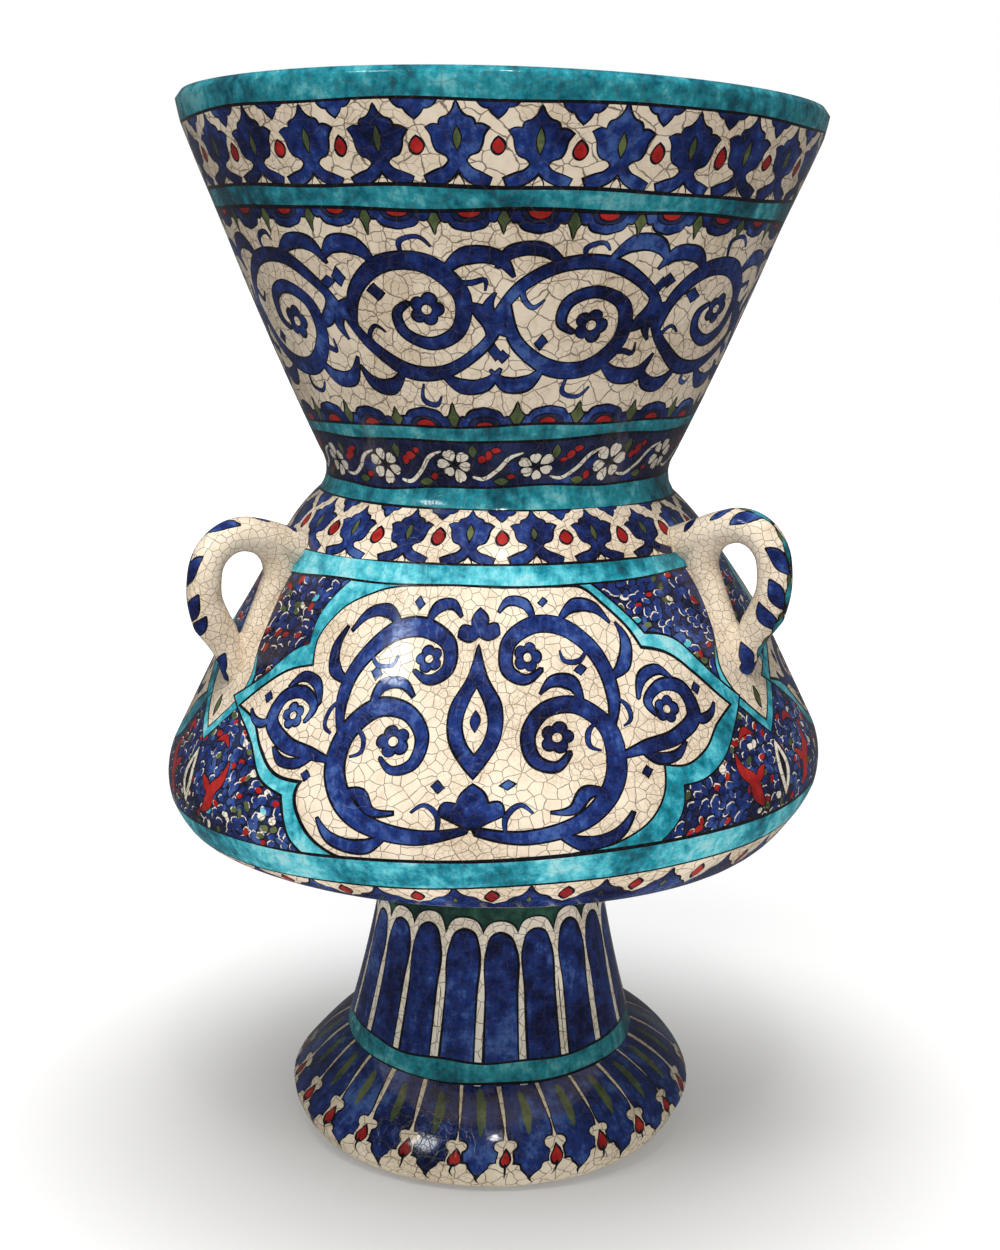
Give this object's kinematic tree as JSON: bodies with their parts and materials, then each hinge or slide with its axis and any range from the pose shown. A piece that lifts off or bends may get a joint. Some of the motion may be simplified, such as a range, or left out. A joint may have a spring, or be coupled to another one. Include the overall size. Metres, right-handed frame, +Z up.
{
  "type": "mosque lamp",
  "caption": "Glazed fritware mosque lamp with a flaring funnel neck, a leaning-walled body on a hollow foot, loop handles for chains and a lift-out oil glass with wick.",
  "frame": {"origin": "centre of the foot ring, on the plane it stands on", "axes": "+Z up along the axis of the lamp, one painted panel faces -Y, one handle points to +Y"},
  "size_m": [0.2826, 0.2826, 0.45],
  "materials": {
    "painted_fritware": "glossy crackled clear glaze over cobalt, turquoise, red, green and black painting",
    "green_glass": "clear pale green blown glass",
    "old_brass": "dull hand-worked brass",
    "cotton_wick": "twisted cotton"
  },
  "bodies": {
    "lamp": {"foot_skirt": "painted_fritware", "foot_stem": "painted_fritware", "belly_bowl": "painted_fritware", "body_wall": "painted_fritware", "shoulder": "painted_fritware", "neck_funnel": "painted_fritware", "handle_left": "painted_fritware", "handle_right": "painted_fritware", "handle_rear": "painted_fritware"},
    "glass": {"oil_glass": "green_glass"},
    "holder": {"wick_holder": "old_brass", "wick": "cotton_wick"}
  },
  "joints": [
    {"name": "glass_lift", "type": "slide", "parent": "lamp", "child": "glass", "axis": [0, 0, 1], "range_m": [0, 0.34]},
    {"name": "holder_lift", "type": "slide", "parent": "glass", "child": "holder", "axis": [0, 0, 1], "range_m": [0, 0.1]}
  ]
}
